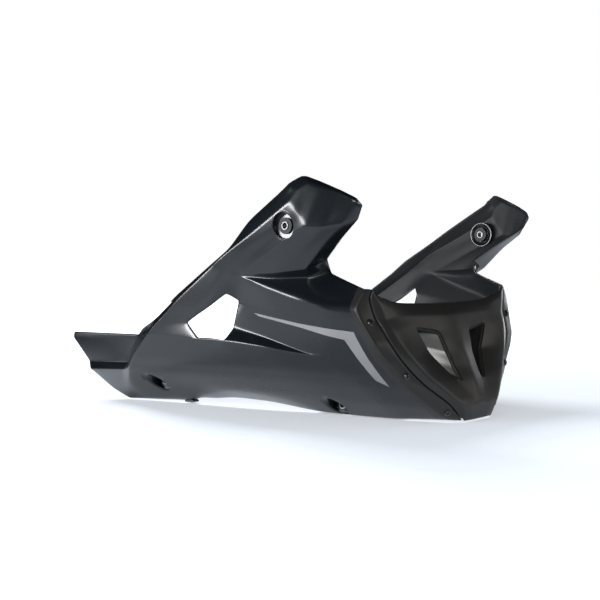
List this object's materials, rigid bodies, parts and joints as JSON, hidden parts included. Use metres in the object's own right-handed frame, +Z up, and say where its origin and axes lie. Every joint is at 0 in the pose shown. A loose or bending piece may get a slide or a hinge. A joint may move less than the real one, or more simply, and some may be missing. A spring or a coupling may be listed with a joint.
{
  "type": "motorcycle belly pan",
  "caption": "Belly pan in moulded black plastic: two side panels with upper arms and a window each, joined by a nose scoop with twin air intakes.",
  "frame": {"origin": "middle of the length and width, at the floor the pan stands on", "axes": "+X forward to the nose, +Y to the rider's left, +Z up"},
  "size_m": [0.531, 0.42, 0.2621],
  "materials": {
    "side_panel": "satin",
    "nose": "fine grain",
    "duct": "matt",
    "bush": "matt",
    "sleeve": "turned, dark",
    "screw": "black oxide",
    "clip_nut": "zinc plated",
    "stripe": "satin film",
    "plate": "matt"
  },
  "bodies": {
    "root": {"right_side_panel": "side_panel", "left_side_panel": "side_panel", "nose_scoop": "nose", "right_intake_duct": "duct", "left_intake_duct": "duct", "right_upper_bush": "bush", "left_upper_bush": "bush", "right_lower_bushes": "bush", "left_lower_bushes": "bush", "right_upper_sleeve": "sleeve", "left_upper_sleeve": "sleeve", "right_lower_sleeves": "sleeve", "left_lower_sleeves": "sleeve", "right_strip_screws": "screw", "left_strip_screws": "screw", "right_clip_nuts": "clip_nut", "left_clip_nuts": "clip_nut", "right_stripe": "stripe", "left_stripe": "stripe", "cross_plate": "plate", "cross_plate_screws": "screw"}
  },
  "joints": []
}
